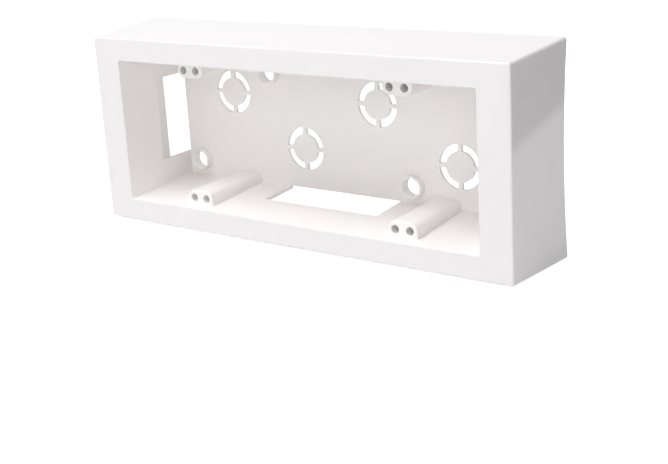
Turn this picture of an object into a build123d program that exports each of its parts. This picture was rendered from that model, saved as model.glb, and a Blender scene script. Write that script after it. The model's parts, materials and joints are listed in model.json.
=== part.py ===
from build123d import *

import os
from math import atan2, degrees

# Surface-mounted switch box, moulded in one piece and open at the front.
# A flat front frame joins two walls: a tray inside, which holds the wiring, and a
# skirt round it, whose rear edge stands free against the wall behind the box.
# +X runs along the box, +Y into the wall and +Z up. The origin is the middle of the
# face that lies on the wall, so a height above the wall is counted along -Y.

# Overall sizes, in millimetres
front_length = 222.0
front_height = 90.6
box_depth = 46.5
skirt_flare = 2.6  # each skirt wall leans out by this much on its way to the wall
end_bow = 1.4  # the right end is drawn in by this much at the middle of its rear edge

# Front frame
end_rail = 15.0
face_wall = 2.2

# Walls of the skirt and of the tray
side_wall = 1.8  # the same for the skirt, the tray and the tray's back
tray_lean_ends = 0.6  # the tray's walls lean in by this much from the frame to the back
tray_lean_sides = 2.0

# Screw pillars for the switch plate, with a pair of holes in each
plate_span_x = 112.8  # between the middles of the pillars
plate_span_z = 61.8
plate_hole_inset = 3.5  # from the long edges of the opening to the holes
pillar_pitch = 7.3  # between the two holes of one pillar
pillar_radius = 3.6
pillar_recess = 5.8  # below the front face
plate_hole_radius = 1.9
plate_hole_depth = 22.0

# Collars round the wall screws, in two rows: one by an end of the tray, one beside a pillar
wall_hole_radius = 4.5
collar_wall = 1.0
collar_height = 3.6
collar_end_gap = 3.4  # to the end of the tray
collar_pillar_gap = 4.15
collar_side_gap = 2.9  # to the long side of the tray

# Conduit knockouts in the back wall: discs held by four tabs, in a zigzag row
knockout_radius = 10.6
knockout_slot = 3.4
knockout_tab = 2.0
knockout_pitch = 42.3
knockout_rise = 12.5
knockout_count = 4

# Cable cut-outs in the tray's walls, open to the wall behind
cutout_depth = 22.2
end_cutout = 41.6
side_cutout = 63.0
cutout_margin = 0.2  # each cut starts and ends this far clear of its wall

# Softened edges
corner_radius = 1.2
face_edge_radius = 0.8
tray_corner_radius = 1.0
opening_edge_radius = 0.5
collar_chamfer = 0.3
pillar_chamfer = 0.4

# Sizes that follow from those above
wall_length = front_length + 2 * skirt_flare
wall_height = front_height + 2 * skirt_flare
opening_length = front_length - 2 * end_rail
opening_height = plate_span_z + 2 * plate_hole_inset
tray_depth = box_depth - side_wall
end_draft = degrees(atan2(tray_lean_ends, tray_depth))
side_draft = degrees(atan2(tray_lean_sides, tray_depth))
tab_length = 2 * (knockout_radius + knockout_slot)  # right across a knockout, and past its slots

wall_plane = Plane.XZ
back_plane = Plane.XZ.offset(side_wall)
collar_plane = Plane.XZ.offset(side_wall + collar_height)
pillar_plane = Plane.XZ.offset(box_depth - pillar_recess)
front_plane = Plane.XZ.offset(box_depth)

pillar_side_x = (plate_span_x - pillar_pitch) / 2 - pillar_radius
collar_radius = wall_hole_radius + collar_wall
collar_end_x = opening_length / 2 - tray_lean_ends - collar_end_gap - collar_radius
collar_pillar_x = pillar_side_x - collar_pillar_gap - collar_radius
collar_z = opening_height / 2 - tray_lean_sides - collar_side_gap - collar_radius
wall_holes = [(row * x, row * collar_z) for row in (-1, 1) for x in (collar_end_x, -collar_pillar_x)]
knockouts = [
    ((i - (knockout_count - 1) / 2) * knockout_pitch, knockout_rise * (-1) ** i)
    for i in range(knockout_count)
]


def skirt_form(inset, height):
    """Block on the wall that narrows to the front, with its right end drawn in at the wall."""
    half_x = wall_length / 2 - inset
    half_z = wall_height / 2 - inset
    lean = skirt_flare * height / box_depth
    with BuildPart() as form:
        with BuildSketch(wall_plane):
            with BuildLine():
                Polyline((half_x, half_z), (-half_x, half_z), (-half_x, -half_z), (half_x, -half_z))
                ThreePointArc((half_x, -half_z), (half_x - end_bow, 0), (half_x, half_z))
            make_face()
        with BuildSketch(wall_plane.offset(height)):
            Rectangle(2 * (half_x - lean), 2 * (half_z - lean))
        loft()
    return form.part


def tray_form(outset, depth):
    """Block behind the front plane, with all four walls leaning in towards the back."""
    with BuildPart() as form:
        with BuildSketch(front_plane):
            Rectangle(opening_length + 2 * outset, opening_height + 2 * outset)
        extrude(amount=-depth)
        draft(form.faces().filter_by(Axis.X), front_plane, -end_draft)
        draft(form.faces().filter_by(Axis.Z), front_plane, -side_draft)
        fillet(form.edges().group_by(Axis.Y)[1], tray_corner_radius + outset)
    return form.part


def faces_on(plane, form):
    """Flat faces of a form that lie in a plane across the depth of the box."""
    return form.faces().filter_by(Axis.Y).filter_by(lambda face: plane.contains(face.center()))


def free_edges(pillar_top):
    """Outline of a pillar's top, without the edge where the pillar joins the tray's wall."""
    return pillar_top.outer_wire().edges().sort_by(lambda edge: abs(edge.center().Z))[:-1]


# Room inside the tray, with the pillars and collars left standing in it
with BuildPart() as tray_room:
    add(tray_form(0, tray_depth))
    with BuildSketch(pillar_plane):
        with GridLocations(plate_span_x, plate_span_z, 2, 2):
            SlotCenterToCenter(pillar_pitch, 2 * pillar_radius)
        with GridLocations(plate_span_x, plate_span_z + plate_hole_inset, 2, 2):
            Rectangle(pillar_pitch + 2 * pillar_radius, plate_hole_inset)
    extrude(amount=pillar_recess - tray_depth, mode=Mode.SUBTRACT)
    with BuildSketch(back_plane):
        with Locations(*wall_holes):
            Circle(collar_radius)
    extrude(amount=collar_height, mode=Mode.SUBTRACT)

with BuildPart() as switch_box:
    # Skirt and front face, hollow from behind
    add(skirt_form(0, box_depth))
    fillet(switch_box.edges().group_by(Axis.Y)[1], corner_radius)
    fillet(switch_box.edges().group_by(Axis.Y)[0], face_edge_radius)
    add(skirt_form(side_wall, box_depth - face_wall), mode=Mode.SUBTRACT)

    # Tray, from the front frame to the wall
    add(tray_form(side_wall, box_depth))
    add(tray_room.part, mode=Mode.SUBTRACT)
    front_face = switch_box.faces().sort_by(Axis.Y)[0]
    fillet(front_face.inner_wires().edges(), opening_edge_radius)

    # Cable cut-outs through the tray's ends and sides
    for way in (-1, 1):
        with BuildSketch(Plane.YZ.offset(way * (opening_length / 2 - tray_lean_ends - cutout_margin))):
            with Locations((-cutout_depth / 2, 0)):
                Rectangle(cutout_depth, end_cutout)
        extrude(amount=way * (side_wall + tray_lean_ends + 2 * cutout_margin), mode=Mode.SUBTRACT)
        with BuildSketch(Plane.XY.offset(way * (opening_height / 2 - tray_lean_sides - cutout_margin))):
            with Locations((0, -cutout_depth / 2)):
                Rectangle(side_cutout, cutout_depth)
        extrude(amount=way * (side_wall + tray_lean_sides + 2 * cutout_margin), mode=Mode.SUBTRACT)

    # Conduit knockouts
    with BuildSketch(wall_plane):
        with Locations(*knockouts):
            Circle(knockout_radius)
            Circle(knockout_radius - knockout_slot, mode=Mode.SUBTRACT)
            Rectangle(tab_length, knockout_tab, mode=Mode.SUBTRACT)
            Rectangle(knockout_tab, tab_length, mode=Mode.SUBTRACT)
    extrude(amount=side_wall, mode=Mode.SUBTRACT)

    # Holes for the plate screws and for the wall screws
    with Locations(pillar_plane):
        with GridLocations(plate_span_x, plate_span_z, 2, 2):
            with GridLocations(pillar_pitch, 0, 2, 1):
                Hole(plate_hole_radius, plate_hole_depth)
    with Locations(collar_plane):
        with Locations(*wall_holes):
            Hole(wall_hole_radius, collar_height + side_wall)

    # Broken rims of the collars and pillars
    chamfer(faces_on(collar_plane, switch_box).edges(), collar_chamfer)
    pillar_tops = faces_on(pillar_plane, switch_box)
    chamfer([edge for top in pillar_tops for edge in free_edges(top)], pillar_chamfer)

switch_box.part.label = "switch_box"
os.makedirs("parts", exist_ok=True)
export_step(switch_box.part, "parts/switch_box.step")
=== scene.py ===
"""Finish, studio floor and camera for a moulded surface switch box, laid out as an add-on."""

import json
import math

import bpy
from bpy.props import FloatProperty, FloatVectorProperty, PointerProperty
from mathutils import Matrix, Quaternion, Vector


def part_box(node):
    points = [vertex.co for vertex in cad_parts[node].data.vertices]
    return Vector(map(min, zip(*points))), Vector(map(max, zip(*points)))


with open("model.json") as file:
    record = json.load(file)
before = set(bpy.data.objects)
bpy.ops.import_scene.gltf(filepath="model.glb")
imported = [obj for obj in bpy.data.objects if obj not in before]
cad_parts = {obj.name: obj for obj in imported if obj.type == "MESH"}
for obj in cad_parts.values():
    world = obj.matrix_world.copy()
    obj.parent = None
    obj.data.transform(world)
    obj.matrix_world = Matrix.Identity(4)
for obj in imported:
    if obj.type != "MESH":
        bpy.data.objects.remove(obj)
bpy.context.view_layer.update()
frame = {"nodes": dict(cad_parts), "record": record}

bl_info = {
    "name": "Surface switch box",
    "version": (1, 0, 0),
    "blender": (4, 5, 0),
    "location": "View3D > Sidebar > Switch box",
    "description": "Gives a moulded switch box its plastic finish and sets it on a pale studio floor",
    "category": "Object",
}

BOX = "switch_box"
BOX_LOW, BOX_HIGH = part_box(BOX)
PLASTIC_COLOUR = frame["record"]["materials"][0]["base_color"][:3]

# Skirt of the box, in metres: wall, lean from front to back, and how far polish reaches round an edge
SKIRT_WALL = 0.0018
SKIRT_LEAN = 0.0026
LIP = 0.0004

# Finish of the plastic: a scale is in features to the metre, and a stretch gives one for each axis
CLOUD_SCALE = 16.0
SPECK_SCALE = 90.0
SPECK_SHARE = 0.3
WARM_SHARES = (1.0, 0.985, 0.96)
COOL_SHARES = (1.0, 1.012, 1.03)
SCUFF_STRETCH = (60.0, 60.0, 700.0)
SCUFF_ROUGHNESS = 0.03
GRAIN_SCALE = 1500.0
OUTSIDE_GRAIN = 0.4
DRAG_STRETCH = (1100.0, 14.0, 1100.0)
DRAG_SHARE = 0.6
SWELL_SCALE = 13.0
REFRACTION = 1.53

PAPER_SHADE = 0.8
NEAR_CLIP = 0.01  # nearest distance that the camera sees, as a share of its distance from its aim

# Places of the colour sockets on a Mix node
MIX_A, MIX_B, MIX_RESULT = 6, 7, 2


class Wire:
    """A shader socket that adds Math nodes to its tree when it is used in an expression."""

    def __init__(self, tree, socket=None):
        self.tree = tree
        self.socket = socket

    def node(self, kind, settings=None, sockets=None, output=0):
        """Adds a node, sets its settings and then its sockets, and returns one of its outputs."""
        made = self.tree.nodes.new(kind)
        for name, value in (settings or {}).items():
            setattr(made, name, value)
        for name, value in (sockets or {}).items():
            if isinstance(value, Wire):
                self.tree.links.new(value.socket, made.inputs[name])
            else:
                made.inputs[name].default_value = value
        return Wire(self.tree, made.outputs[output] if made.outputs else None)

    def math(self, operation, *values):
        """Adds a Math node that works on wires and plain numbers alike."""
        return self.node("ShaderNodeMath", {"operation": operation}, dict(enumerate(values)))

    def __add__(self, other):
        return self.math("ADD", self, other)

    def __sub__(self, other):
        return self.math("SUBTRACT", self, other)

    def __rsub__(self, other):
        return self.math("SUBTRACT", other, self)

    def __mul__(self, other):
        return self.math("MULTIPLY", self, other)

    def __lt__(self, other):
        return self.math("LESS_THAN", self, other)

    def __gt__(self, other):
        return self.math("GREATER_THAN", self, other)

    def __abs__(self):
        return self.math("ABSOLUTE", self)

    __radd__ = __add__
    __rmul__ = __mul__

    def mix(self, low, high):
        """Colour between two colours, with this value as the share of the second."""
        settings = {"data_type": "RGBA"}
        return self.node("ShaderNodeMix", settings, {0: self, MIX_A: low, MIX_B: high}, MIX_RESULT)


def new_tree(owner):
    """Empty node tree of a material or a world, as a wire to hang nodes on."""
    owner.use_nodes = True
    owner.node_tree.nodes.clear()
    return Wire(owner.node_tree)


def colour(rgb):
    return (*rgb, 1.0)


def grey(level):
    return colour([level] * 3)


def tinted(base, shares):
    """Colour with each of its channels taken at a share."""
    return colour([channel * share for channel, share in zip(base, shares)])


def noise(wire, place, scale, detail=2.0):
    """Soft noise about zero, from -0.5 to 0.5, with so many features to the metre."""
    sockets = {"Vector": place, "Scale": scale, "Detail": detail}
    return wire.node("ShaderNodeTexNoise", None, sockets) - 0.5


def stretched(wire, place, scale):
    """Coordinates pulled out or drawn together along each axis."""
    return wire.node("ShaderNodeMapping", None, {"Vector": place, "Scale": scale})


class PlasticSettings(bpy.types.PropertyGroup):
    """Finish of the moulded plastic, with painted light inside and painted shade outside."""

    tint: FloatVectorProperty(
        name="Colour", description="Colour of the plastic", subtype="COLOR", size=3,
        min=0, max=1, default=PLASTIC_COLOUR,
    )
    # Painted shade: the frame and the skirt are coloured a little darker and cooler than the plastic
    outside_painted_shade: FloatVectorProperty(
        name="Outside colour",
        description="Colour of the frame and the skirt, as a share of the plastic's colour",
        subtype="COLOR", size=3, min=0, max=1.1, default=(0.985, 0.973, 1.0),
    )
    # Painted light: the tray and the hollow round it are coloured lighter and warmer than the plastic
    inside_painted_light: FloatVectorProperty(
        name="Inside colour",
        description="Colour of the tray and of the hollow round it, as a share of the plastic's colour",
        subtype="COLOR", size=3, min=0, max=1.1, default=(1.065, 1.05, 1.05),
    )
    tint_drift: FloatProperty(
        name="Colour drift", description="How far the colour drifts over the moulding",
        subtype="FACTOR", min=0, max=1, default=0.03,
    )
    polish: FloatProperty(
        name="Outside roughness", description="Roughness of the polished outside",
        subtype="FACTOR", min=0, max=1, default=0.075,
    )
    dullness: FloatProperty(
        name="Inside roughness", description="Roughness of the blasted tray and of the hollow round it",
        subtype="FACTOR", min=0, max=1, default=0.38,
    )
    grain: FloatProperty(
        name="Grain depth", description="Depth of the fine mould grain",
        subtype="DISTANCE", unit="LENGTH", min=0, default=0.00001,
    )
    swell: FloatProperty(
        name="Swell depth", description="Depth of the slow swell that cooling leaves in the walls",
        subtype="DISTANCE", unit="LENGTH", min=0, default=0.0001,
    )


class StageSettings(bpy.types.PropertyGroup):
    """Floor and lights of the studio."""

    floor_width: FloatProperty(
        name="Floor width", description="Width of the pale floor",
        subtype="DISTANCE", unit="LENGTH", min=1, default=12.0,
    )
    floor_shade: FloatProperty(
        name="Shadow share", description="Share of the floor's white that the deepest shadow takes away",
        subtype="FACTOR", min=0, max=1, default=0.16,
    )
    ambient: FloatProperty(
        name="Room light", description="Strength of the even light from all round",
        min=0.1, default=0.26,
    )
    card_near: FloatVectorProperty(
        name="Card near end", description="Place on the floor where the dark card's near end stands",
        subtype="XYZ", unit="LENGTH", size=2, default=(0.207, 0.07),
    )
    card_far: FloatVectorProperty(
        name="Card far end", description="Place on the floor where the dark card's far end stands",
        subtype="XYZ", unit="LENGTH", size=2, default=(0.295, 0.6),
    )
    card_height: FloatProperty(
        name="Card height", description="Height of the dark card above the floor",
        subtype="DISTANCE", unit="LENGTH", min=0, default=0.085,
    )
    card_shade: FloatProperty(
        name="Card shade", description="Grey of the dark card",
        subtype="FACTOR", min=0, max=1, default=0.15,
    )


def lamp_settings(name, power, width, distance, azimuth, elevation):
    """Properties of a square soft lamp, with defaults of its own."""
    lamp = f"{name.lower()} lamp"
    return {
        "power": FloatProperty(
            name=f"{name} power", description=f"Power of the {lamp}",
            subtype="POWER", unit="POWER", min=0, default=power,
        ),
        "width": FloatProperty(
            name=f"{name} width", description=f"Width of the {lamp}",
            subtype="DISTANCE", unit="LENGTH", min=0.1, default=width,
        ),
        "distance": FloatProperty(
            name=f"{name} distance", description=f"Distance of the {lamp} from the box",
            subtype="DISTANCE", unit="LENGTH", min=0.3, default=distance,
        ),
        "azimuth": FloatProperty(
            name=f"{name} azimuth", description=f"Direction of the {lamp}, from the front towards +X",
            subtype="ANGLE", unit="ROTATION", default=math.radians(azimuth),
        ),
        "elevation": FloatProperty(
            name=f"{name} elevation", description=f"Height of the {lamp} above the horizon",
            subtype="ANGLE", unit="ROTATION", default=math.radians(elevation),
        ),
    }


class KeySettings(bpy.types.PropertyGroup):
    """Key lamp, high above the front and to the left."""

    __annotations__ = lamp_settings("Key", power=10.4, width=0.8, distance=1.15, azimuth=-35, elevation=66)


class FillSettings(bpy.types.PropertyGroup):
    """Fill lamp, low before the front and a little to the right."""

    __annotations__ = lamp_settings("Fill", power=9.0, width=1.4, distance=1.5, azimuth=17, elevation=11)


class BackSettings(bpy.types.PropertyGroup):
    """Back lamp, low behind the box, which lights the hollow between the tray and the skirt."""

    __annotations__ = lamp_settings("Back", power=6.75, width=0.4, distance=1.2, azimuth=172, elevation=9)


class CameraSettings(bpy.types.PropertyGroup):
    """Place and lens of the camera."""

    azimuth: FloatProperty(
        name="Azimuth", description="Direction of the camera, from the front towards +X",
        subtype="ANGLE", unit="ROTATION", default=math.radians(35.34),
    )
    elevation: FloatProperty(
        name="Elevation", description="Height of the camera above the horizon",
        subtype="ANGLE", unit="ROTATION", default=math.radians(15.33),
    )
    roll: FloatProperty(
        name="Roll", description="Turn of the camera about its line of sight",
        subtype="ANGLE", unit="ROTATION", default=math.radians(-3.33),
    )
    aim: FloatVectorProperty(
        name="Aim", description="Point that the line of sight passes through",
        subtype="XYZ", unit="LENGTH", size=3, default=(0.0126, -0.0263, -0.0106),
    )
    distance: FloatProperty(
        name="Distance", description="Distance of the camera from its aim",
        subtype="DISTANCE", unit="LENGTH", min=0.1, default=0.53,
    )
    lens: FloatProperty(
        name="Lens", description="Focal length", unit="CAMERA", min=10, default=63.43,
    )
    rise: FloatProperty(
        name="Shift", description="Vertical shift of the picture, as a share of its width",
        default=-0.1003,
    )


def drifting(share, base):
    """Colour that drifts between a warmer and a cooler shade of a base."""
    return share.mix(tinted(base, WARM_SHARES), tinted(base, COOL_SHARES))


def white_plastic(settings):
    """White plastic: polished outside, duller in and round the tray, with mould grain and a slow swell."""
    material = bpy.data.materials.new("white_plastic")
    wire = new_tree(material)
    place = wire.node("ShaderNodeTexCoord", output="Object")
    x, y, z = (wire.node("ShaderNodeSeparateXYZ", None, {"Vector": place}, axis) for axis in "XYZ")

    skin = y * (SKIRT_LEAN / BOX_LOW.y) + (SKIRT_WALL - LIP / 2)
    inside = (abs(x) + skin < BOX_HIGH.x) * (abs(z) + skin < BOX_HIGH.z) * (y > BOX_LOW.y + LIP)

    cloud = noise(wire, place, CLOUD_SCALE) + noise(wire, place, SPECK_SCALE) * SPECK_SHARE
    share = cloud * settings.tint_drift + 0.5
    # Painted light inside the tray and its hollow, painted shade on the frame and the skirt
    outer, inner = (
        drifting(share, tinted(settings.tint, shares))
        for shares in (settings.outside_painted_shade, settings.inside_painted_light)
    )
    tint = inside.mix(outer, inner)

    scuffs = noise(wire, stretched(wire, place, SCUFF_STRETCH), 1.0, detail=4.0)
    rough = settings.polish + inside * (settings.dullness - settings.polish) + scuffs * SCUFF_ROUGHNESS

    grain = noise(wire, place, GRAIN_SCALE, detail=3.0) * (OUTSIDE_GRAIN + inside * (1 - OUTSIDE_GRAIN))
    drag = noise(wire, stretched(wire, place, DRAG_STRETCH), 1.0) * inside
    texture = grain + drag * DRAG_SHARE
    fine = wire.node("ShaderNodeBump", None, {"Distance": settings.grain, "Height": texture})
    swell = noise(wire, place, SWELL_SCALE, detail=1.0)
    bump = wire.node("ShaderNodeBump", None, {"Distance": settings.swell, "Height": swell, "Normal": fine})

    surface = wire.node("ShaderNodeBsdfPrincipled", None, {
        "Base Color": tint, "Roughness": rough, "Normal": bump, "IOR": REFRACTION,
    })
    wire.node("ShaderNodeOutputMaterial", None, {"Surface": surface})
    return material


def ray_kind(wire, name):
    """One for rays of a named kind, zero for others."""
    return wire.node("ShaderNodeLightPath", output=name)


def mirrored(wire):
    """One for rays that arrive by way of gloss or glass, zero for others."""
    return wire.math("MAXIMUM", ray_kind(wire, "Is Glossy Ray"), ray_kind(wire, "Is Transmission Ray"))


def seen(wire):
    """One for what the camera sees, straight or mirrored, zero for light itself."""
    return wire.math("MAXIMUM", ray_kind(wire, "Is Camera Ray"), mirrored(wire))


def pale_floor(settings):
    """Floor that shows as white where the room light reaches it, darker in a shadow, and white in gloss."""
    material = bpy.data.materials.new("pale_floor")
    wire = new_tree(material)
    shade = settings.floor_shade
    paper = wire.node("ShaderNodeBsdfDiffuse", None, {"Color": grey(PAPER_SHADE)})
    veil = wire.node("ShaderNodeBsdfDiffuse", None, {"Color": grey(shade / settings.ambient)})
    glow = wire.node("ShaderNodeEmission", None, {"Color": grey(1.0), "Strength": 1 - shade})
    shown = wire.node("ShaderNodeAddShader", None, {0: veil, 1: glow})
    white = wire.node("ShaderNodeEmission", None, {"Color": grey(1.0)})
    unseen = wire.node("ShaderNodeMixShader", None, {0: mirrored(wire), 1: paper, 2: white})
    camera = ray_kind(wire, "Is Camera Ray")
    surface = wire.node("ShaderNodeMixShader", None, {0: camera, 1: unseen, 2: shown})
    wire.node("ShaderNodeOutputMaterial", None, {"Surface": surface})
    return material


def stage_panel(name, corners, material):
    """Flat four-cornered piece of the studio."""
    mesh = bpy.data.meshes.new(name)
    mesh.from_pydata(corners, [], [(0, 1, 2, 3)])
    mesh.materials.append(material)
    panel = bpy.data.objects.new(name, mesh)
    bpy.context.scene.collection.objects.link(panel)
    return panel


def add_floor(settings):
    half = settings.floor_width / 2
    corners = [(-half, -half), (half, -half), (half, half), (-half, half)]
    stage_panel("floor", [(x, y, BOX_LOW.z) for x, y in corners], pale_floor(settings))


def dark_card(settings):
    material = bpy.data.materials.new("dark_card")
    wire = new_tree(material)
    surface = wire.node("ShaderNodeBsdfDiffuse", None, {"Color": grey(settings.card_shade)})
    wire.node("ShaderNodeOutputMaterial", None, {"Surface": surface})
    return material


def add_card(settings):
    """Dark card out of the picture, which the upper part of the right end reflects."""
    low, high = BOX_LOW.z, BOX_LOW.z + settings.card_height
    near, far = settings.card_near, settings.card_far
    corners = [(*near, low), (*far, low), (*far, high), (*near, high)]
    card = stage_panel("card", corners, dark_card(settings))
    card.visible_camera = False
    card.visible_shadow = False


def add_room_light(settings):
    """World that lights evenly and shows as white."""
    world = bpy.data.worlds.new("studio")
    bpy.context.scene.world = world
    wire = new_tree(world)
    strength = settings.ambient + seen(wire) * (1 - settings.ambient)
    light = wire.node("ShaderNodeBackground", None, {"Color": grey(1.0), "Strength": strength})
    wire.node("ShaderNodeOutputWorld", None, {"Surface": light})


def direction(azimuth, elevation):
    """Unit vector from the box towards a place; azimuth 0 is the front, and it turns towards +X."""
    level = math.cos(elevation)
    return Vector((math.sin(azimuth) * level, -math.cos(azimuth) * level, math.sin(elevation)))


def add_lamp(name, settings, glare):
    """Square soft lamp that faces the box, with or without a reflection of itself in the gloss."""
    data = bpy.data.lights.new(name, "AREA")
    data.shape = "SQUARE"
    data.size = settings.width
    data.energy = settings.power
    lamp = bpy.data.objects.new(name, data)
    away = direction(settings.azimuth, settings.elevation)
    lamp.location = (BOX_LOW + BOX_HIGH) / 2 + away * settings.distance
    lamp.rotation_euler = (-away).to_track_quat("-Z", "Y").to_euler()
    lamp.visible_glossy = glare
    bpy.context.scene.collection.objects.link(lamp)


def add_camera(settings):
    data = bpy.data.cameras.new("camera")
    data.lens = settings.lens
    data.shift_y = settings.rise
    data.clip_start = settings.distance * NEAR_CLIP
    camera = bpy.data.objects.new("camera", data)
    back = direction(settings.azimuth, settings.elevation)
    level = (-back).to_track_quat("-Z", "Y")
    camera.location = Vector(settings.aim) + back * settings.distance
    camera.rotation_euler = (level @ Quaternion((0, 0, 1), settings.roll)).to_euler()
    bpy.context.scene.collection.objects.link(camera)
    bpy.context.scene.camera = camera


class SWITCHBOX_OT_finish(bpy.types.Operator):
    """Give the moulded box its white plastic"""

    bl_idname = "switchbox.finish"
    bl_label = "Finish the box"

    def execute(self, context):
        box = frame["nodes"][BOX]
        plastic = white_plastic(context.scene.switchbox_plastic)
        for slot in box.material_slots:
            slot.material = plastic
        return {"FINISHED"}


class SWITCHBOX_OT_stage(bpy.types.Operator):
    """Set up the floor, the lights and the camera"""

    bl_idname = "switchbox.stage"
    bl_label = "Set the stage"

    def execute(self, context):
        scene = context.scene
        scene.view_settings.view_transform = "Standard"
        add_floor(scene.switchbox_stage)
        add_card(scene.switchbox_stage)
        add_room_light(scene.switchbox_stage)
        add_lamp("key", scene.switchbox_key, glare=True)
        add_lamp("fill", scene.switchbox_fill, glare=False)
        add_lamp("back", scene.switchbox_back, glare=False)
        add_camera(scene.switchbox_camera)
        return {"FINISHED"}


class SWITCHBOX_PT_panel(bpy.types.Panel):
    """Finish and stage of the switch box"""

    bl_idname = "SWITCHBOX_PT_panel"
    bl_label = "Switch box"
    bl_space_type = "VIEW_3D"
    bl_region_type = "UI"
    bl_category = "Switch box"

    def draw(self, context):
        for operator, settings in STEPS:
            self.layout.operator(operator)
            for group in (getattr(context.scene, name) for name in settings):
                for setting in group.__annotations__:
                    self.layout.prop(group, setting)


STEPS = [
    ("switchbox.finish", ["switchbox_plastic"]),
    ("switchbox.stage", [
        "switchbox_stage", "switchbox_key", "switchbox_fill", "switchbox_back", "switchbox_camera",
    ]),
]
SETTINGS = {
    "switchbox_plastic": PlasticSettings,
    "switchbox_stage": StageSettings,
    "switchbox_key": KeySettings,
    "switchbox_fill": FillSettings,
    "switchbox_back": BackSettings,
    "switchbox_camera": CameraSettings,
}
CLASSES = [*SETTINGS.values(), SWITCHBOX_OT_finish, SWITCHBOX_OT_stage, SWITCHBOX_PT_panel]


def register():
    for made in CLASSES:
        bpy.utils.register_class(made)
    for name, group in SETTINGS.items():
        setattr(bpy.types.Scene, name, PointerProperty(type=group))


def unregister():
    for name in SETTINGS:
        delattr(bpy.types.Scene, name)
    for made in reversed(CLASSES):
        bpy.utils.unregister_class(made)


def main():
    register()
    bpy.ops.switchbox.finish()
    bpy.ops.switchbox.stage()


if __name__ == "__main__":
    main()
